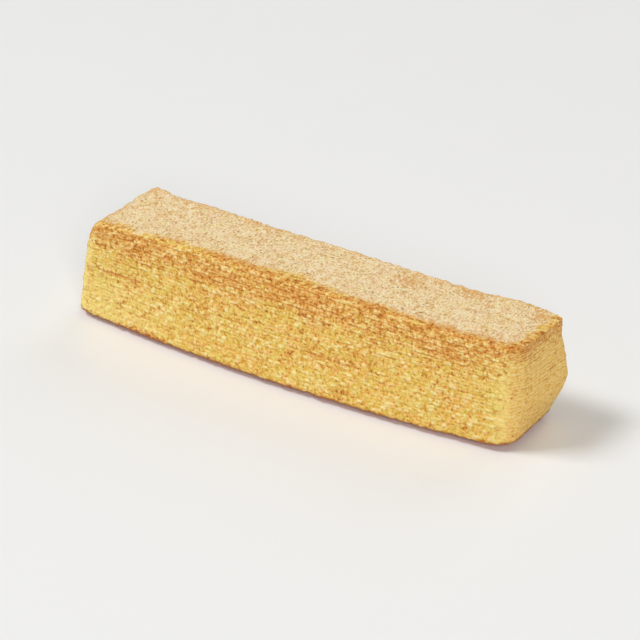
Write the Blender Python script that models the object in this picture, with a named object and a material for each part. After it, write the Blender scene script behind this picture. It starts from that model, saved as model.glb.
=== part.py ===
"""A stick of baumkuchen, cut from a flat cake that was baked layer on layer.

Metres, +Z up. The length runs along X and the long cut side that shows faces -Y. The origin
is on the surface that the stick lies on, under the middle of its bounding box.

The stick is one solid. It is drawn first as a straight bar with rounded edges and one groove
round it at the top of each layer, and then warped: its left end leans in, its right end
swells, its front side flares towards the foot, and its top rises and dips.
"""

import math

import bmesh
import bpy

# The straight bar
LENGTH = 0.1476
WIDTH = 0.0253
LAYERS = 15
BOTTOM_LAYER = 0.00247  # the layers get evenly thinner from the bottom one
TOP_LAYER = 0.00185  # to the top one
SKIN = 0.00137  # the browned skin over the top layer
LEFT_CORNERS = 0.0040  # radius of both upright edges of the left end
RIGHT_FRONT_CORNER = 0.0055
RIGHT_BACK_CORNER = 0.0032
TOP_EDGE_RADIUS = 0.0009
BASE_EDGE_HEIGHT = 0.0018  # the base edge is cut back under: this high, and this far in
BASE_EDGE_REACH = 0.0045
BASE_EDGE_POWER = 1.5  # 1 would cut it back straight, and more curves it

# The grooves between the layers
GROOVE_DEPTH = 0.00038
GROOVE_HALF_HEIGHT = 0.00046
GROOVE_VARIATION = 0.5  # share of the depth that comes and goes along a groove

# The left end
LEFT_LEAN = 0.0055  # how far it leans in, from its foot to its top
LEFT_SHOULDER = 0.0021  # how much further the last of its height rounds in
LEFT_SHOULDER_POWER = 10
LEFT_SKEW = 0.0037  # how far its back edge stands in from its front edge

# The right end
RIGHT_SKEW = 0.0024  # how far its back edge stands out past its front edge, at the top
RIGHT_SWELL = 0.0039  # how much more the back edge bulges at mid height
SWELL_HEIGHT = 0.0144
SWELL_RISE = 0.0105  # spread of the bulge above that height
SWELL_FALL = 0.0090  # and below it
RIGHT_TUCK = 0.0009  # how far its foot stands in

# The long sides, the base and the top
FRONT_FLARE = 0.0045  # how far the front foot stands out at mid length
LEFT_LIFT = 0.0003  # how far the ends of the base rise off the surface
RIGHT_LIFT = 0.0005
FLAT_SHARE = 0.58  # of the half length that lies flat
SIDE_WAVE = 0.00022  # unevenness of the cut sides
TOP_RIPPLE = 0.00013  # small unevenness of the top

# Rises and dips of the top: place along X, spread, height, and place across, 0 at the front edge
# and 1 at the back one
TOP_SWELLS = (
    (-0.0360, 0.0210, 0.0005, 0.0),
    (0.0400, 0.0250, -0.0007, 0.0),
    (-0.0730, 0.0060, -0.0010, 0.0),
    (-0.0760, 0.0045, -0.0020, 0.5),
    (-0.0695, 0.0060, 0.0015, 1.0),
    (-0.0500, 0.0110, 0.0006, 1.0),
    (-0.0080, 0.0160, -0.0004, 1.0),
    (0.0170, 0.0110, -0.0007, 1.0),
    (0.0330, 0.0080, -0.0010, 1.0),
    (0.0480, 0.0100, -0.0013, 1.0),
    (0.0720, 0.0080, -0.0011, 1.0),
)

# Mesh spacing
LENGTH_STEPS = 30
WIDTH_STEPS = 4
EDGE_STEPS = 3  # along half of a rounded edge

CAKE_COLOUR = (0.83, 0.53, 0.19, 1.0)
CAKE_ROUGHNESS = 0.9

HALF_LENGTH = LENGTH / 2
HALF_WIDTH = WIDTH / 2
HEIGHT = LAYERS * (BOTTOM_LAYER + TOP_LAYER) / 2 + SKIN


def layer_lines():
    """Heights of the grooves, one at the top of each layer."""
    heights = []
    height = 0.0
    for layer in range(LAYERS):
        height += BOTTOM_LAYER + (TOP_LAYER - BOTTOM_LAYER) * layer / (LAYERS - 1)
        heights.append(height)
    return heights


LINES = layer_lines()


def edge_stations(half, low_radius, high_radius, steps):
    """Places across one side of the bar, close together where its two rounded edges are."""
    turn = [math.tan(math.pi / 4 * i / EDGE_STEPS) for i in range(EDGE_STEPS + 1)]
    low_flat = low_radius - half
    high_flat = half - high_radius
    low = [low_flat - low_radius * t for t in reversed(turn)]
    high = [high_flat + high_radius * t for t in turn]
    middle = [low_flat + (high_flat - low_flat) * i / steps for i in range(1, steps)]
    return low + middle + high


def height_stations():
    """Heights up the bar: the base edge, three for each groove, and the top edge's round."""
    base = [BASE_EDGE_HEIGHT * share for share in (0.0, 0.15, 0.5, 1.0)]
    top = [HEIGHT - TOP_EDGE_RADIUS * share for share in (0.45, 0.12, 0.0)]
    grooves = []
    for line in LINES:
        grooves += [line - GROOVE_HALF_HEIGHT, line, line + GROOVE_HALF_HEIGHT]
    return base + grooves + top


def edge_inset(z):
    """How far the sides stand in at a height, where the top edge is rounded or the base cut back."""
    into_top = max(0.0, (z - HEIGHT) / TOP_EDGE_RADIUS + 1)
    into_base = max(0.0, 1 - z / BASE_EDGE_HEIGHT)
    top = TOP_EDGE_RADIUS * (1 - math.sqrt(1 - min(into_top, 1) ** 2))
    return top + BASE_EDGE_REACH * into_base**BASE_EDGE_POWER


def groove_inset(x, y, z):
    """How far a groove cuts into the sides at a height. Each groove comes and goes along its length."""
    inset = 0.0
    for number, line in enumerate(LINES):
        share = 1 - abs(z - line) / GROOVE_HALF_HEIGHT
        if share > 0:
            wave = math.sin(190 * x + 2.4 * number) * math.cos(85 * x + 240 * y + 1.7 * number)
            inset += GROOVE_DEPTH * share * (1 - GROOVE_VARIATION + GROOVE_VARIATION * wave)
    return inset


def side_wave(x, y, z):
    """Slow unevenness of the cut sides."""
    along = math.sin(150 * x + 60 * z) + 0.6 * math.sin(330 * x - 210 * z + 1.3)
    across = math.sin(260 * y + 180 * z + 0.7)
    return SIDE_WAVE * (along + across) / 2


def corner_radius(x, y):
    """Radius of the upright edge in each quarter of the plan."""
    if x < 0:
        return LEFT_CORNERS
    return RIGHT_FRONT_CORNER if y < 0 else RIGHT_BACK_CORNER


def round_corners(x, y, half_x, half_y):
    """A point of a rectangle's plan, moved so that the rectangle's corners are round."""
    flat_x = half_x - corner_radius(x, y)
    flat_y = half_y - corner_radius(x, y)
    core_x = min(max(x, -flat_x), flat_x)
    core_y = min(max(y, -flat_y), flat_y)
    out_x = x - core_x
    out_y = y - core_y
    reach = math.hypot(out_x, out_y)
    if reach == 0:
        return x, y
    scale = max(abs(out_x), abs(out_y)) / reach
    return core_x + out_x * scale, core_y + out_y * scale


def swell(x, centre, spread):
    return math.exp(-(((x - centre) / spread) ** 2))


def top_relief(x, y):
    """Rises and dips of the top, each strongest at its place across and evenly less away from it."""
    back = (1 + y / HALF_WIDTH) / 2
    relief = TOP_RIPPLE * math.sin(420 * x + 200 * y) * math.cos(310 * y - 150 * x)
    for centre, spread, height, across in TOP_SWELLS:
        share = 1 - abs(back - across)
        relief += height * swell(x, centre, spread) * share
    return relief


def end_lift(along):
    """How far the base has risen off the surface, at -1 to 1 along the half length."""
    into_end = max(0.0, (abs(along) - FLAT_SHARE) / (1 - FLAT_SHARE))
    return (LEFT_LIFT if along < 0 else RIGHT_LIFT) * into_end**2


def warp(x, y, z):
    """Where a point of the straight bar lies in the stick."""
    along = x / HALF_LENGTH
    up = z / HEIGHT
    back = (1 + y / HALF_WIDTH) / 2
    front = 1 - back
    left = ((1 - along) / 2) ** 2
    right = ((1 + along) / 2) ** 2
    lean = LEFT_LEAN * up + LEFT_SHOULDER * up**LEFT_SHOULDER_POWER
    spread = SWELL_RISE if z > SWELL_HEIGHT else SWELL_FALL
    bulge = RIGHT_SKEW * math.sqrt(up) + RIGHT_SWELL * swell(z, SWELL_HEIGHT, spread)
    tuck = RIGHT_TUCK * right**4 * (1 - up) ** 2
    new_x = x + left * (lean + LEFT_SKEW * back) + right * bulge * back - tuck
    new_y = y - FRONT_FLARE * front * (1 - up) * (1 - along**2)
    new_z = z + (1 - up) * end_lift(along) + up**2 * top_relief(x, y)
    return new_x, new_y, new_z


def place(x, y, z):
    """A point of the square-edged box that the bar is drawn in, moved to the stick's surface."""
    on_side = abs(x) > HALF_LENGTH - 1e-9 or abs(y) > HALF_WIDTH - 1e-9
    inset = edge_inset(z)
    if on_side and 0 < z < HEIGHT:
        inset += groove_inset(x, y, z) + side_wave(x, y, z) * math.sin(math.pi * z / HEIGHT)
    half_x = HALF_LENGTH - inset
    half_y = HALF_WIDTH - inset
    plan = round_corners(x * half_x / HALF_LENGTH, y * half_y / HALF_WIDTH, half_x, half_y)
    return warp(plan[0], plan[1], z)


def add_surface(bm, xs, ys, zs):
    """Quads over the six sides of the box that the stations span, facing out."""
    corners = {}

    def corner(key):
        if key not in corners:
            i, j, k = key
            corners[key] = bm.verts.new(place(xs[i], ys[j], zs[k]))
        return corners[key]

    def quad(*keys):
        bm.faces.new([corner(key) for key in keys])

    end_x = len(xs) - 1
    end_y = len(ys) - 1
    end_z = len(zs) - 1
    for i in range(end_x):
        for j in range(end_y):
            quad((i, j, end_z), (i + 1, j, end_z), (i + 1, j + 1, end_z), (i, j + 1, end_z))
            quad((i, j, 0), (i, j + 1, 0), (i + 1, j + 1, 0), (i + 1, j, 0))
    for k in range(end_z):
        for i in range(end_x):
            quad((i, 0, k), (i + 1, 0, k), (i + 1, 0, k + 1), (i, 0, k + 1))
            quad((i, end_y, k), (i, end_y, k + 1), (i + 1, end_y, k + 1), (i + 1, end_y, k))
        for j in range(end_y):
            quad((end_x, j, k), (end_x, j + 1, k), (end_x, j + 1, k + 1), (end_x, j, k + 1))
            quad((0, j, k), (0, j, k + 1), (0, j + 1, k + 1), (0, j + 1, k))


def centre_on_footprint(bm):
    """Moves the mesh so that the origin is under the middle of its bounding box."""
    middle = []
    for axis in range(2):
        values = [vertex.co[axis] for vertex in bm.verts]
        middle.append((min(values) + max(values)) / 2)
    bmesh.ops.translate(bm, verts=bm.verts, vec=(-middle[0], -middle[1], 0.0))


def cake_material():
    material = bpy.data.materials.new("baked_cake")
    material.use_nodes = True
    shader = material.node_tree.nodes["Principled BSDF"]
    shader.inputs["Base Color"].default_value = CAKE_COLOUR
    shader.inputs["Roughness"].default_value = CAKE_ROUGHNESS
    shader.inputs["Metallic"].default_value = 0.0
    return material


def make_baumkuchen():
    bm = bmesh.new()
    add_surface(
        bm,
        edge_stations(HALF_LENGTH, LEFT_CORNERS, RIGHT_FRONT_CORNER, LENGTH_STEPS),
        edge_stations(HALF_WIDTH, RIGHT_FRONT_CORNER, LEFT_CORNERS, WIDTH_STEPS),
        height_stations(),
    )
    centre_on_footprint(bm)
    mesh = bpy.data.meshes.new("baumkuchen")
    bm.to_mesh(mesh)
    bm.free()
    mesh.shade_smooth()
    mesh.materials.append(cake_material())
    baumkuchen = bpy.data.objects.new("baumkuchen", mesh)
    bpy.context.scene.collection.objects.link(baumkuchen)
    return baumkuchen


for leftover in list(bpy.data.objects):
    bpy.data.objects.remove(leftover)
make_baumkuchen()
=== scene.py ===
"""Looks of the baumkuchen stick: one closed fine mesh with its crumb, layer lines and torn skin.

Metres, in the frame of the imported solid. The mesh is a box of fine rows and columns, rounded
and warped as the solid is, and then moved along its normals by the relief of each surface:
granules, pits and grooves on the cut sides, a thin torn skin with pores on the top, and crags
along the edges.
"""

import math

import bpy
import numpy as np
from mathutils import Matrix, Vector, noise


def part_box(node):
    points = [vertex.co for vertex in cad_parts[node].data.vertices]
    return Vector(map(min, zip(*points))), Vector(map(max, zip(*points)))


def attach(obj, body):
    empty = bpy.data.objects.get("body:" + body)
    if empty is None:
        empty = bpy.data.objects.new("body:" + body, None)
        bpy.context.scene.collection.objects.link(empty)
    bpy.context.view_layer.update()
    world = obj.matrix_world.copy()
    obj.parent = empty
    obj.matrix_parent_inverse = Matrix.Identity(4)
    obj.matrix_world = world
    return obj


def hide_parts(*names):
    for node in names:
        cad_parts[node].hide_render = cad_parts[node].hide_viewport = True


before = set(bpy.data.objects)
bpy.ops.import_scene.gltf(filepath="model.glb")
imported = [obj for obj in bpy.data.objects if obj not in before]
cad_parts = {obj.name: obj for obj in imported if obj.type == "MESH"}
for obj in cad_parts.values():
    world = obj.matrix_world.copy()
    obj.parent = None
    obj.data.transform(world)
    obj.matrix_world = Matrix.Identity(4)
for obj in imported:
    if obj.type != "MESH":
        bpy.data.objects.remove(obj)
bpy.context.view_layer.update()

LOW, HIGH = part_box("baumkuchen")

# The form, as the solid has it
LENGTH = 0.1476
WIDTH = 0.0253
LAYERS = 15
BOTTOM_LAYER = 0.00247  # the layers get evenly thinner from the bottom one
TOP_LAYER = 0.00185  # to the top one
SKIN = 0.00137  # the browned skin over the top layer
LEFT_CORNERS = 0.0040  # radius of both upright edges of the left end
RIGHT_FRONT_CORNER = 0.0055
RIGHT_BACK_CORNER = 0.0032
TOP_EDGE_RADIUS = 0.0009
BASE_EDGE_HEIGHT = 0.0018  # the base edge is cut back under: this high, and this far in
BASE_EDGE_REACH = 0.0045
BASE_EDGE_POWER = 1.5  # 1 would cut it back straight, and more curves it
LEFT_LEAN = 0.0055  # how far the left end leans in, from its foot to its top
LEFT_SHOULDER = 0.0021  # how much further the last of its height rounds in
LEFT_SHOULDER_POWER = 10
LEFT_SKEW = 0.0037  # how far its back edge stands in from its front edge
RIGHT_SKEW = 0.0024  # how far the right end's back edge stands out past its front edge
RIGHT_SWELL = 0.0039  # how much more that edge bulges at mid height
SWELL_HEIGHT = 0.0144
SWELL_RISE = 0.0105  # spread of the bulge above that height
SWELL_FALL = 0.0090  # and below it
RIGHT_TUCK = 0.0009  # how far the foot of the right end stands in
FRONT_FLARE = 0.0045  # how far the front foot stands out at mid length
LEFT_LIFT = 0.0003  # how far the ends of the base rise off the surface
RIGHT_LIFT = 0.0005
FLAT_SHARE = 0.58  # of the half length that lies flat
# Rises and dips of the top: place along X, spread, height, and place across, 0 at the front edge
# and 1 at the back one
TOP_SWELLS = (
    (-0.0360, 0.0210, 0.0005, 0.0),
    (0.0400, 0.0250, -0.0007, 0.0),
    (-0.0730, 0.0060, -0.0010, 0.0),
    (-0.0760, 0.0045, -0.0020, 0.5),
    (-0.0695, 0.0060, 0.0015, 1.0),
    (-0.0500, 0.0110, 0.0006, 1.0),
    (-0.0080, 0.0160, -0.0004, 1.0),
    (0.0170, 0.0110, -0.0007, 1.0),
    (0.0330, 0.0080, -0.0010, 1.0),
    (0.0480, 0.0100, -0.0013, 1.0),
    (0.0720, 0.0080, -0.0011, 1.0),
)
HALF_LENGTH = LENGTH / 2
HALF_WIDTH = WIDTH / 2
HEIGHT = LAYERS * (BOTTOM_LAYER + TOP_LAYER) / 2 + SKIN

# Spacing of the fine mesh, and of the base, which has every third column and row
ALONG_STEP = 0.00046
UP_STEP = 0.00034
EDGE_ROWS = 4
BASE_SKIP = 3

# Relief of the cut sides
GROOVE_DEPTH = 0.00013
GROOVE_WIDTH = 0.20  # of a layer
FAINT_GROOVE = 0.35  # share of the depth where the line is faint
LINE_WOBBLE = 0.12  # of a layer
WOBBLE_SIZES = (0.012, 0.012, 0.006)
GRANULE = 0.0014
LOWEST_GRANULE = 0.35  # its height, where the highest is 1
GRANULE_FLANK = 0.45  # how far a granule rises from its gap, in granules
ROWS_IN_LAYER = 2
ROW_FLANK = 2.4  # how steeply a row rises from the gaps beside it
ROW_SHIFT = 7.7  # in granules, so that each row has other ones
GRANULE_RELIEF = 0.00026
LEVEL_GRANULE = 0.4  # height of a granule that ends at the smooth surface
END_CALM = 0.6  # share of the granules' relief that the smoother ends lack
PIT_SIZES = (0.0016, 0.0016, 0.00112)
PIT_RARITY = 0.36  # of the noise from -1 to 1, what stays under this is no pit
PIT_DEPTH = 0.00040
SIDE_UNEVENNESS = 0.00016
UNEVENNESS_SIZE = 0.006
CRAG_SIZE = 0.0024  # along the top edges and the upright ones
CRAG_REACH = 0.002
CRAG_RELIEF = 0.00032
FINE_CRAGS = 0.7  # relief of the crags of half that size, to that of the others
SPOT_FLANK = 3.0  # how steeply a pit or a pore falls away from its rim

# The skin on top. Its torn edge stays in from each edge of the top, or below 0 runs past it
SKIN_RISE = 0.00012
SKIN_FLANK = 0.0008
TEAR_FRONT = 0.0017
TEAR_BACK = -0.0006
TEAR_LEFT = 0.0002
TEAR_RIGHT = 0.0016
LEFT_CORNER_TEAR = 0.0008  # more at the left corners
LEFT_CORNER_SPREAD = 0.004
TEAR_RAGGED = 0.0012
TEAR_SIZE = 0.0028
FINE_TEARS = 0.5  # depth of the fine tears, to that of the others
FINE_TEAR_SIZE = 0.0009
# Where the front tear runs deeper or less deep: place along X, spread, depth
FRONT_TEARS = (
    (0.0010, 0.0085, 0.0026),
    (0.0290, 0.0030, 0.0013),
    (-0.0560, 0.0030, -0.0015),
    (-0.0500, 0.0080, -0.0006),
    (-0.0340, 0.0090, 0.0004),
    (0.0560, 0.0080, -0.0008),
)
PORE_SIZE = 0.0012
PORE_RARITY = 0.25  # as the pits' is
PORE_DEPTH = 0.00012
SKIN_RIPPLE = 0.00008
RIPPLE_SIZE = 0.0009
BROAD_RIPPLE_SIZE = 0.0025
TORN_RELIEF = 0.6 * GRANULE_RELIEF  # of the crumb that shows outside the skin
LEVEL_TORN = 0.6
OFF_TOP = -0.002  # the reach into the skin that the sides and the base are given
MM = 1000  # in a metre

# Colours, as red, green and blue from 0 to 255
# The crumb's three are for its gaps, its middle heights and the tops of its granules: darker in
# the gaps as painted shade, and paler on the tops as a painted highlight
CRUMB_YELLOW = ((200, 151, 41), (230, 195, 86), (247, 234, 160))
CRUMB_AMBER = ((206, 132, 44), (242, 188, 92), (252, 229, 174))
CRUMB_TOASTED = ((150, 78, 12), (220, 150, 62), (250, 221, 146))
# Also the painted highlight round the left upright edges
CRUMB_PALE = (255, 237, 144)
LINE = (178, 106, 34)
SKIN_PINK = (246, 215, 168)
SKIN_YELLOW = (246, 221, 162)
SKIN_LIGHT = (254, 241, 206)
SKIN_SPECK = (200, 150, 88)
SKIN_TOASTED = (224, 166, 90)
PORE = (150, 96, 50)
BASE_BROWN = (190, 98, 38)
FLOOR_PALE = (242, 243, 243)

# How strongly each line shows: faintly up to UPPER_LINE, and more over the next three
LINE_FAINT = 0.30
LINE_UPPER = 0.45
UPPER_LINE = 8
LINES_TO_UPPER = 3
LINE_PATCH = 0.008  # length over which a line comes and goes
PATCH_MEAN = 0.8
PATCH_VARIATION = 1.3
LINE_PARTING = 0.013  # so that each line comes and goes in its own places
# Lines of the front side that show more in one place: number from the base, place along X,
# spread, strength
LINE_PLACES = (
    (6, 0.0170, 0.0100, 0.6),
    (8, -0.0600, 0.0130, 0.7),
    (11, 0.0530, 0.0080, 0.7),
    (12, 0.0530, 0.0080, 0.7),
    (13, 0.0500, 0.0100, 0.6),
)

# Browning of the cut sides: everywhere, coming and going, and more from each height up
PLAIN_TOAST = 0.06
TOAST_PATCHES = 0.26
TOAST_PATCH_SIZES = (0.016, 0.016, 0.006)
TOAST_RISES = ((0.021, 0.44), (0.008, 0.14))
TOAST_RISE_HEIGHT = 0.010
# Near the ends it is more just under the top and less below
END_SPREAD = 0.010
END_TOAST_ABOVE = 0.25
END_TOAST_BELOW = -0.35
END_TOAST_DEPTH = 0.006  # how far below the top it starts to turn
END_TOAST_TURN = 0.004
# Browned places of the front side: place along X, height, spread along X, spread in height,
# strength
SIDE_TOASTS = (
    (-0.0600, 0.0185, 0.0130, 0.0010, 0.6),
    (-0.0460, 0.0024, 0.0100, 0.0012, 1.1),
    (-0.0560, 0.0305, 0.0160, 0.0025, 0.25),
    (0.0170, 0.0143, 0.0110, 0.0006, 0.6),
    (0.0430, 0.0245, 0.0010, 0.0022, 0.7),
    (0.0520, 0.0280, 0.0080, 0.0030, 0.4),
    (0.0100, 0.0285, 0.0140, 0.0030, 0.5),
    (-0.0200, 0.0285, 0.0200, 0.0025, 0.3),
)

# Browning of the top: coming and going, round its rim, and more along its right and front edges
TOP_PATCHES = 0.12
RIM_TOAST = 0.28
RIM_VARIATION = 0.6
RIM_PATCH = 0.008
RIM_LEAST = 0.05
RIM_MOST = 0.65
RIM_WIDTH = 0.0036
RIGHT_RIM = 0.30
RIGHT_RIM_SPREAD = 0.0022
FRONT_RIM = 0.50
FRONT_RIM_WIDTH = 0.0032
FRONT_RIM_LEAST = 0.25  # share of it at the left
FRONT_RIM_START = -0.034  # place along X from which it grows
FRONT_RIM_GROWTH = 0.016
TOAST_STRETCH = 1.3  # of each browned place, along X
# Browned places of the top: place along X, place along Y, spread, strength
TOP_TOASTS = (
    (0.0290, 0.0070, 0.0042, 0.8),
    (0.0220, 0.0000, 0.0010, 0.6),
    (0.0560, 0.0060, 0.0010, 0.6),
    (-0.0690, 0.0110, 0.0025, 0.6),
    (-0.0480, 0.0118, 0.0020, 0.5),
    (-0.0300, 0.0118, 0.0020, 0.5),
    (0.0690, 0.0090, 0.0030, 0.7),
    (0.0480, 0.0092, 0.0026, 0.45),
    (0.0620, 0.0030, 0.0050, 0.22),
    (0.0400, -0.0010, 0.0045, 0.22),
    (-0.0580, 0.0020, 0.0050, 0.20),
)

# Paler crumb: round the upright edges, a painted highlight at the left ones, and low down at the left
LEFT_PALE_SPREAD = 0.0024
RIGHT_PALE = 0.7
LOW_PALE = 0.5
LOW_PALE_START = -0.030  # place along X from which it grows to the left
LOW_PALE_GROWTH = 0.030
LOW_PALE_TOP = 0.022
LOW_PALE_FADE = 0.010

# One seed for each noise
SEEDS = {
    "layers": 3.0,
    "line patches": 5.0,
    "granules": 11.0,
    "pits": 23.0,
    "unevenness": 29.0,
    "tears": 31.0,
    "fine tears": 37.0,
    "pores": 41.0,
    "ripple": 43.0,
    "broad ripple": 47.0,
    "toast": 53.0,
    "crags": 59.0,
    "rim": 61.0,
    "fine crags": 67.0,
}
CELL_PARTING = 7.3  # so that cells that touch have unlike numbers

# The shader's noises: detail and roughness of each kind, and the range that most of it lies in
PLAIN = (1.0, 0.5)
SMOOTH = (2.0, 0.5)
GRAINY = (3.0, 0.6)
GRAINIER = (3.0, 0.65)
GRAINIEST = (3.0, 0.7)
NOISE_RANGE = (0.3, 0.7)

# Heights in the crumb, from 0 in a gap to 1 on a granule, as the bump and the colours read them;
# the colours make painted shade in the gaps and a painted highlight on the granules
FINE_GRAIN = 0.00085
FINE_RANGE = (0.33, 0.65)
ROW_WOBBLE_SIZE = 0.0014
ROW_WOBBLE = 0.20  # of a layer
ROW_FLANKS = (0.03, 0.26)  # of a row, where it rises from the gap beside it
ROW_GAP_HEIGHT = 0.46
LAYER_FLANKS = (0.03, 0.20)  # of a layer
LAYER_GAP_HEIGHT = 0.80
GRANULE_RANGE = (0.1, 0.8)
GRANULE_GAP_HEIGHT = 0.28
END_GRANULE_HEIGHT = 0.68  # the least on the smoother ends
DOME_SHARE = 0.60
FINE_SHARES = (0.44, 0.26)  # on the long sides, and on the ends
HEIGHT_SHIFTS = (0.05, -0.01)  # likewise
LOW_HEIGHTS = (0.14, 0.42)  # over these the colour passes from its low one to its middle one
HIGH_HEIGHTS = (0.42, 0.88)  # and over these to its high one

# Yellow, amber and pale crumb
WARM_GRAIN = 0.0012
WARM_PATCH = 0.0045
WARM_PATCHES = 0.12
END_WARMTH = 0.24
WARM_RANGE = (0.43, 0.67)
PALE_SHARE = 0.8

# Toasted crumb and browned lines
TOAST_STREAK = 0.0015
STREAK_STRETCH = (1.7, 1.7, 0.9)
TOAST_STREAKS = 0.55
# browning added in the dips of the fine grain that the bump sinks, and taken off its rises: painted
# shade
FINE_TOAST = 0.25
TOAST_RANGE = (0.10, 0.80)
LINE_BREAK = 0.0012
BREAK_STRETCH = (2.2, 2.2, 1.0)
BREAK_RANGE = (0.46, 0.58)
LINE_WANDER = 0.20  # of a layer
LINE_FLANKS = (0.02, 0.22)  # of a layer
LINE_SHARE = 0.80
END_LINES = 0.3  # how much of the lines shows on the ends

# The skin's mottling, specks, browning and pores, and its torn edge in millimetres
SPECK_GRAIN = 0.00062
SPECK_STRETCH = (0.9, 1.4, 1.0)
SPECK_RANGE = (0.34, 0.66)
SKIN_MOTTLE = 0.0035
MOTTLE_RANGE = (0.38, 0.62)
SPECK_PATCH = 0.0022
SPECK_PATCHES = 0.24
# The specks follow the noise that also bumps the skin: dark in its dips and light on its rises, so
# they add painted shade and a painted highlight to the skin's own specks
DARK_SPECKS = (0.46, -0.10)
LIGHT_SPECKS = (0.54, 0.95)
LIGHT_SHARE = 0.9
SKIN_CLOUD = 0.005
SKIN_CLOUDS = 0.25
# browning added in the specks' dips and taken off their rises: painted shade
SPECK_TOAST = 0.30
SPECK_TOAST_RANGE = (0.2, 0.8)
SKIN_TOAST_RANGE = (0.10, 0.90)
SKIN_TOAST_SHARE = 0.9
DARK_PORE = 0.0008
DARK_PORE_RANGE = (0.345, 0.26)
DARK_PORE_SHARE = 0.9
DARK_PORE_PATCH = 0.007
DARK_PORE_PATCH_RANGE = (0.35, 0.65)
DARK_PORE_SHIFTS = (0.05, -0.03)
TORN_GRAIN = 0.0010
TORN_GRAIN_RANGE = (0.25, 0.75)
TORN_RAGGED = 1.3
TORN_RANGE = (-0.5, 0.7)

# The browned foot, in layers from the base
FOOT_WOBBLE_SIZE = 0.002
FOOT_WOBBLE_RANGE = (0.2, 0.8)
FOOT_WOBBLE = 0.14
FOOT_HEIGHTS = (0.82, 1.02)
FOOT_SHARE = 0.75
BASE_HEIGHTS = (0.64, 0.82)
BASE_SHARE = 0.95

# Sheen and bumps of the cake, and the floor
SHEEN_GRAIN = 0.0015
CAKE_ROUGHNESS = (0.62, 0.88)
CAKE_SHEEN = 0.35
BUMP_STRENGTH = 0.8
BUMP_RELIEF = 0.0003
SPECK_BUMP = 0.5
FLOOR_GRAIN = 0.02
FLOOR_ROUGHNESS = (0.42, 0.48)
FLOOR_SHEEN = 0.2
FLOOR_RADIUS = 3.0
FLOOR_SIDES = 96
FLOOR_DROP = 0.00005  # below the surface that the stick lies on

MAP_GAP = 0.0008  # between the strips of the texture map

# Camera and lights
CAMERA_AZIMUTH = 31.23  # degrees, from -Y towards +X
CAMERA_ELEVATION = 31.28
CAMERA_DISTANCE = 0.7186
CAMERA_TARGET = (-0.01103, 0.02384, 0.0)
CAMERA_LENS = 135.0  # mm
CAMERA_NEAR = 0.01
KEY_PLACE = (-1.82, -1.04, 3.18)
KEY_SIZE = 1.1
KEY_POWER = 77.0
KEY_COLOUR = (0.96, 0.98, 1.0)
FILL_PLACE = (1.76, -2.30, 1.8)
FILL_SIZE = 1.4
FILL_POWER = 46.0
BACK_PLACE = (0.30, 2.40, 2.0)
BACK_SIZE = 1.8
BACK_POWER = 14.0
SKY = 0.27
SKY_COLOUR = (1.0, 0.93, 0.84)


def layer_lines():
    """Heights of the browned lines, one at the top of each layer."""
    heights = []
    height = 0.0
    for layer in range(LAYERS):
        height += BOTTOM_LAYER + (TOP_LAYER - BOTTOM_LAYER) * layer / (LAYERS - 1)
        heights.append(height)
    return heights


LINES = layer_lines()


def stations(half, step):
    """Evenly spaced places from -half to half, in a number that the base's coarse cells divide."""
    count = BASE_SKIP * round(2 * half / step / BASE_SKIP)
    return np.linspace(-half, half, count + 1)


def height_stations():
    """Heights of the rows: close together where the base and top edges are rounded."""
    turn = np.linspace(0, math.pi / 2, EDGE_ROWS + 1)
    base = BASE_EDGE_HEIGHT * (1 - np.cos(turn))
    top = HEIGHT - TOP_EDGE_RADIUS * (1 - np.cos(turn))[::-1]
    middle = np.arange(BASE_EDGE_HEIGHT, HEIGHT - TOP_EDGE_RADIUS, UP_STEP)[1:]
    return np.concatenate([base, middle, top])


def box_surface(xs, ys, zs):
    """Points of a box's surface and the faces over them, facing out. The base has coarse cells."""
    numbers = {}
    keys = []

    def corner(i, j, k):
        if (i, j, k) not in numbers:
            numbers[i, j, k] = len(keys)
            keys.append((i, j, k))
        return numbers[i, j, k]

    faces = []
    parts = []

    def add(part, *cells):
        faces.append([corner(*cell) for cell in cells])
        parts.append(part)

    end_x, end_y, end_z = len(xs) - 1, len(ys) - 1, len(zs) - 1
    for k in range(end_z):
        for i in range(end_x):
            add("front", (i, 0, k), (i + 1, 0, k), (i + 1, 0, k + 1), (i, 0, k + 1))
            add("back", (i + 1, end_y, k), (i, end_y, k), (i, end_y, k + 1), (i + 1, end_y, k + 1))
        for j in range(end_y):
            add("right", (end_x, j, k), (end_x, j + 1, k), (end_x, j + 1, k + 1), (end_x, j, k + 1))
            add("left", (0, j + 1, k), (0, j, k), (0, j, k + 1), (0, j + 1, k + 1))
    for i in range(end_x):
        for j in range(end_y):
            add("top", (i, j, end_z), (i + 1, j, end_z), (i + 1, j + 1, end_z), (i, j + 1, end_z))
    for i in range(0, end_x, BASE_SKIP):
        for j in range(0, end_y, BASE_SKIP):
            add("base", *base_cell(i, j, end_x, end_y))
    i, j, k = np.array(keys).T
    return np.stack([xs[i], ys[j], zs[k]], -1), faces, parts


def base_cell(i, j, end_x, end_y):
    """Corners of one coarse cell of the base, with the fine ones along the outline of the base."""
    last_i, last_j = i + BASE_SKIP, j + BASE_SKIP
    across = range(1, BASE_SKIP)
    cell = [(i, j, 0)]
    cell += [(i, j + s, 0) for s in across if i == 0]
    cell += [(i, last_j, 0)]
    cell += [(i + s, last_j, 0) for s in across if last_j == end_y]
    cell += [(last_i, last_j, 0)]
    cell += [(last_i, last_j - s, 0) for s in across if last_i == end_x]
    cell += [(last_i, j, 0)]
    cell += [(last_i - s, j, 0) for s in across if j == 0]
    return cell


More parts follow.
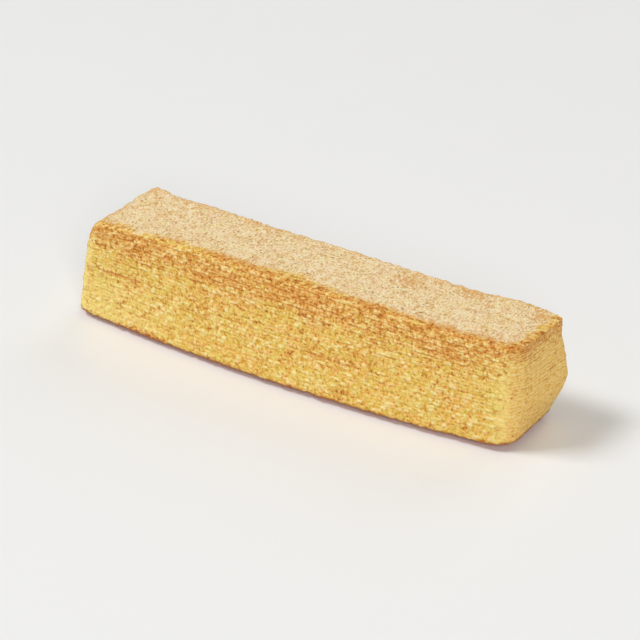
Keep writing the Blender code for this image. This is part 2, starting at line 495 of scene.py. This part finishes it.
def edge_inset(z):
    """How far the sides stand in at a height, where the top and base edges are rounded."""
    into_top = np.clip((z - HEIGHT) / TOP_EDGE_RADIUS + 1, 0, 1)
    into_base = np.clip(1 - z / BASE_EDGE_HEIGHT, 0, 1)
    top = TOP_EDGE_RADIUS * (1 - np.sqrt(1 - into_top**2))
    return top + BASE_EDGE_REACH * into_base**BASE_EDGE_POWER


def corner_radius(x, y):
    """Radius of the upright edge in each quarter of the plan."""
    return np.where(x < 0, LEFT_CORNERS, np.where(y < 0, RIGHT_FRONT_CORNER, RIGHT_BACK_CORNER))


def round_corners(x, y, half_x, half_y):
    """Points of a rectangle's plan, moved so that the rectangle's corners are round."""
    flat_x, flat_y = half_x - corner_radius(x, y), half_y - corner_radius(x, y)
    core_x, core_y = np.clip(x, -flat_x, flat_x), np.clip(y, -flat_y, flat_y)
    out_x, out_y = x - core_x, y - core_y
    reach = np.hypot(out_x, out_y)
    largest = np.maximum(abs(out_x), abs(out_y))
    scale = np.divide(largest, reach, out=np.ones_like(reach), where=reach > 0)
    return core_x + out_x * scale, core_y + out_y * scale


def swell(x, centre, spread):
    """A smooth hump: 1 at its centre, and falling to nearly 0 at twice the spread from it."""
    return np.exp(-(((x - centre) / spread) ** 2))


def beside(distance, width, full=0.2):
    """1 up to this share of the width from an edge, falling to 0 a little past the width."""
    return np.clip(1 + full - distance / width, 0, 1)


def spots(values, rarity):
    """Noise turned to spots: 0 up to the rarity, and rising steeply to 1 past it."""
    return np.clip(SPOT_FLANK * (values - rarity), 0, 1)


def top_relief(x, y):
    """Rises and dips of the top, each strongest at its place across and evenly less away from it."""
    back = (1 + y / HALF_WIDTH) / 2
    relief = np.zeros_like(x)
    for centre, spread, height, across in TOP_SWELLS:
        relief += height * swell(x, centre, spread) * (1 - abs(back - across))
    return relief


def end_lift(along):
    """How far the base has risen off the surface, at -1 to 1 along the half length."""
    into_end = np.clip((abs(along) - FLAT_SHARE) / (1 - FLAT_SHARE), 0, None)
    return np.where(along < 0, LEFT_LIFT, RIGHT_LIFT) * into_end**2


def warp(x, y, z):
    """Where points of the straight bar lie in the stick."""
    along = x / HALF_LENGTH
    up = z / HEIGHT
    back = (1 + y / HALF_WIDTH) / 2
    front = 1 - back
    left = ((1 - along) / 2) ** 2
    right = ((1 + along) / 2) ** 2
    lean = LEFT_LEAN * up + LEFT_SHOULDER * up**LEFT_SHOULDER_POWER
    spread = np.where(z > SWELL_HEIGHT, SWELL_RISE, SWELL_FALL)
    bulge = RIGHT_SKEW * np.sqrt(up) + RIGHT_SWELL * swell(z, SWELL_HEIGHT, spread)
    tuck = RIGHT_TUCK * right**4 * (1 - up) ** 2
    new_x = x + left * (lean + LEFT_SKEW * back) + right * bulge * back - tuck
    new_y = y - FRONT_FLARE * front * (1 - up) * (1 - along**2)
    new_z = z + (1 - up) * end_lift(along) + up**2 * top_relief(x, y)
    return np.stack([new_x, new_y, new_z], -1)


def formed(box_points):
    """Where the points of the box lie on the stick's smooth surface, centred as the solid is."""
    x, y, z = box_points.T
    half_x = HALF_LENGTH - edge_inset(z)
    half_y = HALF_WIDTH - edge_inset(z)
    plan = round_corners(x * half_x / HALF_LENGTH, y * half_y / HALF_WIDTH, half_x, half_y)
    places = warp(*plan, z)
    middle = (places.min(0) + places.max(0)) / 2
    places[:, :2] += np.array((LOW + HIGH)[:2]) / 2 - middle[:2]
    return places


def noise_at(points, size, name):
    """Smooth noise from about -1 to 1, with features of this size, which may differ by axis."""
    return np.array([noise.noise(Vector(p)) for p in points / size + SEEDS[name]])


def cells_at(points, size, name):
    """How far inside its cell each point is, 0 at the cell's edge and 1 well within, and a number
    from 0 to 1 that is each cell's own."""
    inside = np.empty(len(points))
    own = np.empty(len(points))
    for n, p in enumerate(points / size + SEEDS[name]):
        distances, centres = noise.voronoi(Vector(p))
        inside[n] = distances[1] - distances[0]
        own[n] = noise.cell(centres[0] * CELL_PARTING)
    return np.clip(inside / GRANULE_FLANK, 0, 1), own


def layer_of(z):
    """Height counted in layers: 0 at the base, 1 at the first line, and one more above the last."""
    return np.interp(z, [0, *LINES, HEIGHT], range(LAYERS + 2))


def line_strength(x, y, line):
    """How strongly the nearest line shows at each point, from 0 to 1: each comes and goes."""
    by_line = np.stack([x, y, line * LINE_PARTING], -1)
    strength = LINE_FAINT + LINE_UPPER * np.clip((line - UPPER_LINE) / LINES_TO_UPPER, 0, 1)
    patches = PATCH_MEAN + PATCH_VARIATION * noise_at(by_line, LINE_PATCH, "line patches")
    strength = strength * np.clip(patches, 0, 2)
    for number, centre, spread, more in LINE_PLACES:
        strength = strength + more * swell(x, centre, spread) * (line == number) * (y < 0)
    return np.clip(strength, 0, 1) * (line > 0) * (line < LAYERS + 1)


def skin_reach(box_points):
    """How far inside the skin's torn edge each point of the top is; negative outside it."""
    x, y, z = box_points.T
    front = TEAR_FRONT
    for centre, spread, depth in FRONT_TEARS:
        front = front + depth * swell(x, centre, spread)
    left = TEAR_LEFT + LEFT_CORNER_TEAR * swell(abs(y), HALF_WIDTH, LEFT_CORNER_SPREAD)
    reaches = [
        y + HALF_WIDTH - front,
        HALF_WIDTH - TEAR_BACK - y,
        x + HALF_LENGTH - left,
        HALF_LENGTH - TEAR_RIGHT - x,
    ]
    ragged = noise_at(box_points, TEAR_SIZE, "tears")
    ragged = ragged + FINE_TEARS * noise_at(box_points, FINE_TEAR_SIZE, "fine tears")
    return np.min(reaches, axis=0) + TEAR_RAGGED * ragged


def end_share(x):
    """1 on the two ends, falling to 0 round their upright edges."""
    return np.clip((abs(x) - HALF_LENGTH) / RIGHT_FRONT_CORNER + 1, 0, 1)


def paleness_and_highlight(x, z):
    """How much paler the crumb is: round the upright edges, as a painted highlight at the left ones,
    and low down at the left.
    """
    left = swell(x, LEFT_CORNERS / 2 - HALF_LENGTH, LEFT_PALE_SPREAD)
    right = RIGHT_PALE * swell(x, HALF_LENGTH - RIGHT_FRONT_CORNER / 2, RIGHT_FRONT_CORNER / 2)
    low = np.clip((LOW_PALE_START - x) / LOW_PALE_GROWTH, 0, 1)
    low = LOW_PALE * low * np.clip((LOW_PALE_TOP - z) / LOW_PALE_FADE, 0, 1)
    return np.maximum(np.maximum(left, right), low)


def crumb_at(x, y, layer):
    """Height of the granules, from 0 in a gap to 1, and of the rows that they lie in."""
    rows = layer * ROWS_IN_LAYER
    row = np.floor(rows)
    in_row = np.sqrt(np.clip(ROW_FLANK * (0.5 - abs(rows - row - 0.5)), 0, 1))
    inside, own = cells_at(np.stack([x, y, row * ROW_SHIFT * GRANULE], -1), GRANULE, "granules")
    return np.sqrt(inside) * (LOWEST_GRANULE + (1 - LOWEST_GRANULE) * own), in_row


def side_relief(box_points, layer, strength, granule, in_row):
    """Granules in rows, pits, a groove at each line and a gentle unevenness."""
    rough = 1 - END_CALM * end_share(box_points[:, 0])
    raised = granule * (1 + in_row) / 2 - LEVEL_GRANULE
    uneven = noise_at(box_points, UNEVENNESS_SIZE, "unevenness")
    groove = np.clip(1 - abs(layer - np.round(layer)) / GROOVE_WIDTH, 0, 1)
    groove = groove * (FAINT_GROOVE + (1 - FAINT_GROOVE) * strength)
    pit = spots(noise_at(box_points, PIT_SIZES, "pits"), PIT_RARITY)
    out = GRANULE_RELIEF * rough * raised + SIDE_UNEVENNESS * uneven
    return out - GROOVE_DEPTH * groove - PIT_DEPTH * rough * pit


def skin_relief(box_points, reach, granule):
    """The thin skin with its pores, and the torn crumb outside its edge."""
    skin = np.clip(reach / SKIN_FLANK + 0.5, 0, 1)
    pore = spots(noise_at(box_points, PORE_SIZE, "pores"), PORE_RARITY)
    ripple = noise_at(box_points, RIPPLE_SIZE, "ripple")
    ripple = ripple + noise_at(box_points, BROAD_RIPPLE_SIZE, "broad ripple")
    torn = TORN_RELIEF * (granule - LEVEL_TORN)
    return (1 - skin) * torn + skin * (SKIN_RISE - PORE_DEPTH * pore) + SKIN_RIPPLE * ripple


def crag_relief(box_points):
    """Crags along the top edges and the upright ones."""
    x, y, z = box_points.T
    to_end, to_side = HALF_LENGTH - abs(x), HALF_WIDTH - abs(y)
    to_top_edge = np.maximum(HEIGHT - z, np.minimum(to_end, to_side))
    to_upright = np.hypot(to_end, to_side)
    crag = noise_at(box_points, CRAG_SIZE, "crags")
    crag = crag + FINE_CRAGS * noise_at(box_points, CRAG_SIZE / 2, "fine crags")
    return CRAG_RELIEF * beside(np.minimum(to_top_edge, to_upright), CRAG_REACH) * crag


def relief_of(box_points, on_side, on_top):
    """How far each point moves out along its normal, with the values that the colours need."""
    x, y, z = box_points.T
    layer = layer_of(z) + LINE_WOBBLE * noise_at(box_points, WOBBLE_SIZES, "layers")
    strength = line_strength(x, y, np.round(layer))
    granule, in_row = crumb_at(x, y, layer)
    reach = skin_reach(box_points)
    side = side_relief(box_points, layer, strength, granule, in_row)
    top = skin_relief(box_points, reach, granule)
    crag = crag_relief(box_points)
    values = {
        "layer": layer,
        "line": strength,
        "granule": granule,
        "end": end_share(x) * on_side,
        "pale": paleness_and_highlight(x, z) * on_side,
        "skin": np.where(on_top > 0.5, reach, OFF_TOP) * MM,
    }
    return on_side * (side + crag) + on_top * (top + crag), values


def side_toasting(box_points, broad):
    """How browned the cut sides are: more towards the top, and in named places."""
    x, y, z = box_points.T
    toast = PLAIN_TOAST + TOAST_PATCHES * broad
    for height, more in TOAST_RISES:
        toast = toast + more * np.clip((z - height) / TOAST_RISE_HEIGHT, 0, 1)
    above = np.clip((z - HEIGHT + END_TOAST_DEPTH) / END_TOAST_TURN, 0, 1)
    at_end = END_TOAST_ABOVE * above + END_TOAST_BELOW * (1 - above)
    toast = toast + swell(abs(x), HALF_LENGTH, END_SPREAD) * at_end
    for centre, height, spread_x, spread_z, strength in SIDE_TOASTS:
        toast = toast + strength * swell(x, centre, spread_x) * swell(z, height, spread_z) * (y < 0)
    return toast


def top_toasting(box_points, broad):
    """How browned the top is: more round its rim, and in named places."""
    x, y, z = box_points.T
    rim = RIM_TOAST + RIM_VARIATION * noise_at(box_points, RIM_PATCH, "rim")
    edge = np.minimum(HALF_WIDTH - abs(y), HALF_LENGTH - abs(x))
    toast = TOP_PATCHES * broad + np.clip(rim, RIM_LEAST, RIM_MOST) * beside(edge, RIM_WIDTH)
    toast = toast + RIGHT_RIM * swell(x, HALF_LENGTH, RIGHT_RIM_SPREAD)
    growth = np.clip((x - FRONT_RIM_START) / FRONT_RIM_GROWTH, FRONT_RIM_LEAST, 1)
    toast = toast + FRONT_RIM * growth * beside(y + HALF_WIDTH, FRONT_RIM_WIDTH, 0.3)
    for centre_x, centre_y, spread, strength in TOP_TOASTS:
        across = swell(y, centre_y, spread)
        toast = toast + strength * swell(x, centre_x, spread * TOAST_STRETCH) * across
    return toast


def toasting(box_points, on_top):
    """How browned each point is, from 0 to 1."""
    broad = noise_at(box_points, TOAST_PATCH_SIZES, "toast")
    top = top_toasting(box_points, broad)
    side = side_toasting(box_points, broad)
    return np.clip(np.where(on_top > 0.5, top, side), 0, 1)


def surface_shares(box_points):
    """How much each point belongs to the cut sides and to the top, passing over at the top edge."""
    x, y, z = box_points.T
    top = np.clip((z - HEIGHT) / TOP_EDGE_RADIUS + 1, 0, 1)
    side = (1 - top) * np.clip(z / BASE_EDGE_HEIGHT, 0, 1)
    return side, top


def face_map(part, box_points):
    """Where points of one side lie in the unit square of the texture map, each side a strip."""
    x, y, z = box_points.T
    strips = {"front": 0, "back": 1, "right": 2, "left": 2, "top": 3, "base": 4}
    heights = (HEIGHT, HEIGHT, HEIGHT, WIDTH, WIDTH)
    total = sum(heights) + MAP_GAP * (len(heights) + 1)
    row = strips[part]
    start = sum(heights[:row]) + MAP_GAP * (row + 1)
    across = y + HALF_WIDTH
    u = {
        "front": x + HALF_LENGTH,
        "back": HALF_LENGTH - x,
        "right": across,
        "left": 2 * WIDTH + MAP_GAP - across,
        "top": x + HALF_LENGTH,
        "base": HALF_LENGTH - x,
    }[part]
    v = across if part in ("top", "base") else z
    return np.stack([(u + MAP_GAP) / (LENGTH + 2 * MAP_GAP), (start + v) / total], -1)


def add_texture_map(mesh, parts, box_points):
    """A map on which each of the six sides is one strip."""
    layer = mesh.uv_layers.new(name="OFBake")
    corners = np.empty(len(mesh.loops), np.int32)
    mesh.loops.foreach_get("vertex_index", corners)
    counts = np.empty(len(mesh.polygons), np.int32)
    mesh.polygons.foreach_get("loop_total", counts)
    part_of_corner = np.repeat(np.array(parts), counts)
    flat = np.empty((len(corners), 2))
    for part in set(parts):
        here = part_of_corner == part
        flat[here] = face_map(part, box_points[corners[here]])
    layer.uv.foreach_set("vector", flat.astype(np.float32).ravel())


def add_values(mesh, values):
    """One number for each point of the mesh under each name, for the material to read."""
    for name, numbers in values.items():
        attribute = mesh.attributes.new(name, "FLOAT", "POINT")
        attribute.data.foreach_set("value", numbers.astype(np.float32))


def make_cake():
    """The dressed stick: its form, its relief, and the values that its colours read."""
    box_points, faces, parts = box_surface(
        stations(HALF_LENGTH, ALONG_STEP),
        stations(HALF_WIDTH, ALONG_STEP),
        height_stations(),
    )
    mesh = bpy.data.meshes.new("baumkuchen_cake")
    mesh.from_pydata(formed(box_points), [], faces)
    normals = np.empty(len(box_points) * 3, np.float32)
    mesh.vertex_normals.foreach_get("vector", normals)
    normals = normals.reshape(-1, 3)
    on_side, on_top = surface_shares(box_points)
    relief, values = relief_of(box_points, on_side, on_top)
    values["toast"] = toasting(box_points, on_top)
    places = formed(box_points) + normals * relief[:, None]
    places[:, 2] = np.maximum(places[:, 2], 0)
    mesh.vertices.foreach_set("co", places.astype(np.float32).ravel())
    mesh.update()
    add_values(mesh, values)
    add_texture_map(mesh, parts, box_points)
    mesh.shade_smooth()
    mesh.materials.append(cake_material())
    cake = bpy.data.objects.new("baumkuchen_cake", mesh)
    bpy.context.scene.collection.objects.link(cake)
    return cake


def linear(colour):
    """A colour given from 0 to 255 as the shader's linear red, green and blue."""
    return tuple((c / 255 / 12.92 if c < 10.3 else ((c / 255 + 0.055) / 1.055) ** 2.4) for c in colour)


class Nodes:
    """Short forms for adding and linking the nodes of one material."""

    def __init__(self, material):
        material.use_nodes = True
        self.tree = material.node_tree
        self.shader = self.tree.nodes["Principled BSDF"]
        self.place = self.add("ShaderNodeTexCoord").outputs["Object"]

    def add(self, kind, settings=(), **inputs):
        node = self.tree.nodes.new(kind)
        for name, value in dict(settings).items():
            setattr(node, name, value)
        for name, value in inputs.items():
            self.put(value, node.inputs[name.replace("_", " ")])
        return node

    def put(self, value, socket):
        """Links an output to a socket, or sets the socket to a constant."""
        if isinstance(value, bpy.types.NodeSocket):
            self.tree.links.new(value, socket)
        else:
            socket.default_value = value

    def value(self, name):
        """A number that the mesh holds under this name."""
        return self.add("ShaderNodeAttribute", {"attribute_name": name}).outputs["Fac"]

    def math(self, operation, *values):
        node = self.add("ShaderNodeMath", {"operation": operation})
        for value, socket in zip(values, node.inputs):
            self.put(value, socket)
        return node.outputs[0]

    def total(self, first, *others):
        for other in others:
            first = self.math("ADD", first, other)
        return first

    def product(self, first, *others):
        for other in others:
            first = self.math("MULTIPLY", first, other)
        return first

    def ramp(self, value, from_range=(0.0, 1.0), to_range=(0.0, 1.0)):
        """The value moved from one range to another, and held there past its ends."""
        node = self.add("ShaderNodeMapRange", Value=value)
        for socket, number in zip(node.inputs[1:5], (*from_range, *to_range)):
            socket.default_value = number
        return node.outputs[0]

    def noise(self, size, kind=SMOOTH, stretch=(1.0, 1.0, 1.0)):
        """Noise from 0 to 1 with features of this size, longer along an axis by its stretch."""
        detail, roughness = kind
        mapping = self.add("ShaderNodeMapping", Vector=self.place)
        mapping.inputs["Scale"].default_value = [1 / (size * s) for s in stretch]
        texture = self.add("ShaderNodeTexNoise", Vector=mapping.outputs[0], Scale=1.0)
        texture.inputs["Detail"].default_value = detail
        texture.inputs["Roughness"].default_value = roughness
        return texture.outputs["Fac"]

    def sway(self, amount, size, kind=SMOOTH, stretch=(1.0, 1.0, 1.0)):
        """Noise spread over the range from -amount to amount."""
        return self.ramp(self.noise(size, kind, stretch), NOISE_RANGE, (-amount, amount))

    def from_whole(self, value):
        """How far the value is from the nearest whole number."""
        return self.math("ABSOLUTE", self.math("SUBTRACT", value, self.math("ROUND", value)))

    def mix(self, share, first, second):
        """Two colours mixed: the first where the share is 0, the second where it is 1."""
        node = self.add("ShaderNodeMix", {"data_type": "RGBA"})
        self.put(share, node.inputs[0])
        for colour, socket in zip((first, second), (node.inputs[6], node.inputs[7])):
            self.put((*linear(colour), 1.0) if isinstance(colour, tuple) else colour, socket)
        return node.outputs[2]


def crumb_height(nodes, fine):
    """How far each point stands up in the crumb, from 0 in a gap to 1 on a granule, in rows."""
    end = nodes.value("end")
    layer = nodes.total(nodes.value("layer"), nodes.sway(ROW_WOBBLE, ROW_WOBBLE_SIZE))
    rows = nodes.product(layer, ROWS_IN_LAYER)
    in_row = nodes.ramp(nodes.from_whole(rows), ROW_FLANKS, (ROW_GAP_HEIGHT, 1.0))
    in_layer = nodes.ramp(nodes.from_whole(layer), LAYER_FLANKS, (LAYER_GAP_HEIGHT, 1.0))
    granule = nodes.ramp(nodes.value("granule"), GRANULE_RANGE, (GRANULE_GAP_HEIGHT, 1.0))
    granule = nodes.math("MAXIMUM", granule, nodes.product(end, END_GRANULE_HEIGHT))
    return nodes.total(
        nodes.product(in_row, in_layer, granule, DOME_SHARE),
        nodes.product(fine, nodes.ramp(end, to_range=FINE_SHARES)),
        nodes.ramp(end, to_range=HEIGHT_SHIFTS),
    )


def painted_shade_by_height(nodes, height, colours):
    """The colour at each height, passing through a low one, painted shade in the gaps, a middle one,
    and a high one, a painted highlight on the granules.
    """
    low, middle, high = colours
    lower = nodes.mix(nodes.ramp(height, LOW_HEIGHTS), low, middle)
    return nodes.mix(nodes.ramp(height, HIGH_HEIGHTS), lower, high)


def plain_crumb(nodes, height):
    """Golden crumb with a painted highlight on its granules and painted shade in its gaps, here more
    yellow and there more amber.
    """
    warmth = nodes.total(
        nodes.noise(WARM_GRAIN, GRAINIER),
        nodes.sway(WARM_PATCHES, WARM_PATCH),
        nodes.product(nodes.value("end"), END_WARMTH),
    )
    yellow = painted_shade_by_height(nodes, height, CRUMB_YELLOW)
    amber = painted_shade_by_height(nodes, height, CRUMB_AMBER)
    colour = nodes.mix(nodes.ramp(warmth, WARM_RANGE), yellow, amber)
    # paler round the upright edges and low down at the left; round the left edges this is a painted
    # highlight
    return nodes.mix(nodes.product(nodes.value("pale"), PALE_SHARE), colour, CRUMB_PALE)


def crumb_colour(nodes, height, fine):
    """The crumb with its browned places and the broken browned lines between its layers."""
    toast = nodes.total(
        nodes.value("toast"),
        nodes.sway(TOAST_STREAKS, TOAST_STREAK, GRAINY, STREAK_STRETCH),
        # more browned in the dips of the fine grain: painted shade
        nodes.ramp(fine, to_range=(FINE_TOAST, -FINE_TOAST)),
    )
    toasted = painted_shade_by_height(nodes, height, CRUMB_TOASTED)
    colour = nodes.mix(nodes.ramp(toast, TOAST_RANGE), plain_crumb(nodes, height), toasted)
    broken = nodes.noise(LINE_BREAK, GRAINY, BREAK_STRETCH)
    wander = nodes.ramp(broken, to_range=(-LINE_WANDER, LINE_WANDER))
    layer = nodes.total(nodes.value("layer"), wander)
    share = nodes.product(
        nodes.ramp(nodes.from_whole(layer), LINE_FLANKS, (1.0, 0.0)),
        nodes.ramp(nodes.value("line"), to_range=(0.0, LINE_SHARE)),
        nodes.ramp(broken, BREAK_RANGE),
        nodes.ramp(nodes.value("end"), to_range=(1.0, END_LINES)),
    )
    return nodes.mix(share, colour, LINE)


def skin_colour(nodes, speck):
    """Pale mottled skin with light and dark specks and pores, browned at its edges and in places. The
    specks are the skin's own, set light on the rises and dark, and more browned, in the dips of the
    bump that shares their noise: painted highlight and painted shade on them.
    """
    mottled = nodes.ramp(nodes.noise(SKIN_MOTTLE, GRAINY), MOTTLE_RANGE)
    colour = nodes.mix(mottled, SKIN_PINK, SKIN_YELLOW)
    speck = nodes.total(speck, nodes.sway(SPECK_PATCHES, SPECK_PATCH, GRAINY))
    colour = nodes.mix(nodes.ramp(speck, DARK_SPECKS), colour, SKIN_SPECK)
    colour = nodes.mix(nodes.ramp(speck, LIGHT_SPECKS, (0.0, LIGHT_SHARE)), colour, SKIN_LIGHT)
    toast = nodes.total(
        nodes.value("toast"),
        nodes.sway(SKIN_CLOUDS, SKIN_CLOUD, GRAINY),
        nodes.ramp(speck, SPECK_TOAST_RANGE, (SPECK_TOAST, -SPECK_TOAST)),
    )
    browned = nodes.ramp(toast, SKIN_TOAST_RANGE, (0.0, SKIN_TOAST_SHARE))
    colour = nodes.mix(browned, colour, SKIN_TOASTED)
    patchy = nodes.ramp(nodes.noise(DARK_PORE_PATCH), DARK_PORE_PATCH_RANGE, DARK_PORE_SHIFTS)
    pores = nodes.total(nodes.noise(DARK_PORE, PLAIN), patchy)
    return nodes.mix(nodes.ramp(pores, DARK_PORE_RANGE, (0.0, DARK_PORE_SHARE)), colour, PORE)


def foot_colour(nodes, colour):
    """The colour browned along the foot, and more on the base."""
    wobble = nodes.noise(FOOT_WOBBLE_SIZE)
    wobble = nodes.ramp(wobble, FOOT_WOBBLE_RANGE, (-FOOT_WOBBLE, FOOT_WOBBLE))
    layer = nodes.total(nodes.value("layer"), wobble)
    colour = nodes.mix(nodes.ramp(layer, FOOT_HEIGHTS, (FOOT_SHARE, 0.0)), colour, CRUMB_TOASTED[0])
    return nodes.mix(nodes.ramp(layer, BASE_HEIGHTS, (BASE_SHARE, 0.0)), colour, BASE_BROWN)


def cake_material():
    """Crumb on the cut sides, skin on the top and a browned foot, with fine bumps."""
    material = bpy.data.materials.new("baked_cake")
    nodes = Nodes(material)
    fine = nodes.ramp(nodes.noise(FINE_GRAIN, GRAINY), FINE_RANGE)
    # the specks' noise, which bumps the skin and sets its painted shade and highlight
    speck = nodes.ramp(nodes.noise(SPECK_GRAIN, GRAINIEST, SPECK_STRETCH), SPECK_RANGE)
    # heights that raise the crumb's bump and that its colours turn to painted shade and highlight
    height = crumb_height(nodes, fine)
    ragged = nodes.ramp(nodes.noise(TORN_GRAIN, GRAINY), TORN_GRAIN_RANGE, (-TORN_RAGGED, TORN_RAGGED))
    on_skin = nodes.ramp(nodes.total(nodes.value("skin"), ragged), TORN_RANGE)
    colour = nodes.mix(on_skin, crumb_colour(nodes, height, fine), skin_colour(nodes, speck))
    nodes.put(foot_colour(nodes, colour), nodes.shader.inputs["Base Color"])
    rough = nodes.ramp(nodes.noise(SHEEN_GRAIN), NOISE_RANGE, CAKE_ROUGHNESS)
    nodes.put(rough, nodes.shader.inputs["Roughness"])
    nodes.shader.inputs["Specular IOR Level"].default_value = CAKE_SHEEN
    on_crumb = nodes.math("SUBTRACT", 1.0, on_skin)
    raised = nodes.total(
        nodes.product(height, on_crumb),
        nodes.product(speck, on_skin, SPECK_BUMP),
    )
    bump = nodes.add("ShaderNodeBump", Height=raised, Strength=BUMP_STRENGTH, Distance=BUMP_RELIEF)
    nodes.put(bump.outputs[0], nodes.shader.inputs["Normal"])
    return material


def make_floor():
    """A plain pale disc, far larger than the stick."""
    mesh = bpy.data.meshes.new("floor")
    turn = np.linspace(0, 2 * math.pi, FLOOR_SIDES, endpoint=False)
    rim = [(FLOOR_RADIUS * math.cos(a), FLOOR_RADIUS * math.sin(a), -FLOOR_DROP) for a in turn]
    mesh.from_pydata(rim, [], [range(len(rim))])
    material = bpy.data.materials.new("floor")
    nodes = Nodes(material)
    nodes.shader.inputs["Base Color"].default_value = (*linear(FLOOR_PALE), 1.0)
    rough = nodes.ramp(nodes.noise(FLOOR_GRAIN), NOISE_RANGE, FLOOR_ROUGHNESS)
    nodes.put(rough, nodes.shader.inputs["Roughness"])
    nodes.shader.inputs["Specular IOR Level"].default_value = FLOOR_SHEEN
    mesh.materials.append(material)
    floor = bpy.data.objects.new("floor", mesh)
    bpy.context.scene.collection.objects.link(floor)


def aim(thing, place, target):
    """Puts a camera or a light at a place and turns it towards a target."""
    thing.location = place
    thing.rotation_mode = "QUATERNION"
    thing.rotation_quaternion = (Vector(target) - Vector(place)).to_track_quat("-Z", "Y")


def add_camera():
    azimuth, elevation = math.radians(CAMERA_AZIMUTH), math.radians(CAMERA_ELEVATION)
    back = Vector((
        math.sin(azimuth) * math.cos(elevation),
        -math.cos(azimuth) * math.cos(elevation),
        math.sin(elevation),
    ))
    data = bpy.data.cameras.new("camera")
    data.lens = CAMERA_LENS
    data.clip_start = CAMERA_NEAR
    camera = bpy.data.objects.new("camera", data)
    bpy.context.scene.collection.objects.link(camera)
    aim(camera, Vector(CAMERA_TARGET) + back * CAMERA_DISTANCE, CAMERA_TARGET)
    bpy.context.scene.camera = camera


def add_softbox(name, place, size, power, colour=(1.0, 1.0, 1.0)):
    """A square area light that faces the stick."""
    data = bpy.data.lights.new(name, "AREA")
    data.size = size
    data.energy = power
    data.color = colour
    light = bpy.data.objects.new(name, data)
    bpy.context.scene.collection.objects.link(light)
    aim(light, place, (0.0, 0.0, 0.0))


def add_lights():
    add_softbox("key", KEY_PLACE, KEY_SIZE, KEY_POWER, KEY_COLOUR)
    add_softbox("fill", FILL_PLACE, FILL_SIZE, FILL_POWER)
    add_softbox("back", BACK_PLACE, BACK_SIZE, BACK_POWER)
    world = bpy.data.worlds.new("studio")
    world.use_nodes = True
    background = world.node_tree.nodes["Background"]
    background.inputs["Color"].default_value = (*SKY_COLOUR, 1.0)
    background.inputs["Strength"].default_value = SKY
    bpy.context.scene.world = world


def dress():
    """Puts the dressed stick in the solid's place."""
    cake = make_cake()
    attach(cake, "root")
    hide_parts("baumkuchen")


bpy.context.scene.view_settings.view_transform = "Standard"
add_camera()
dress()
make_floor()
add_lights()
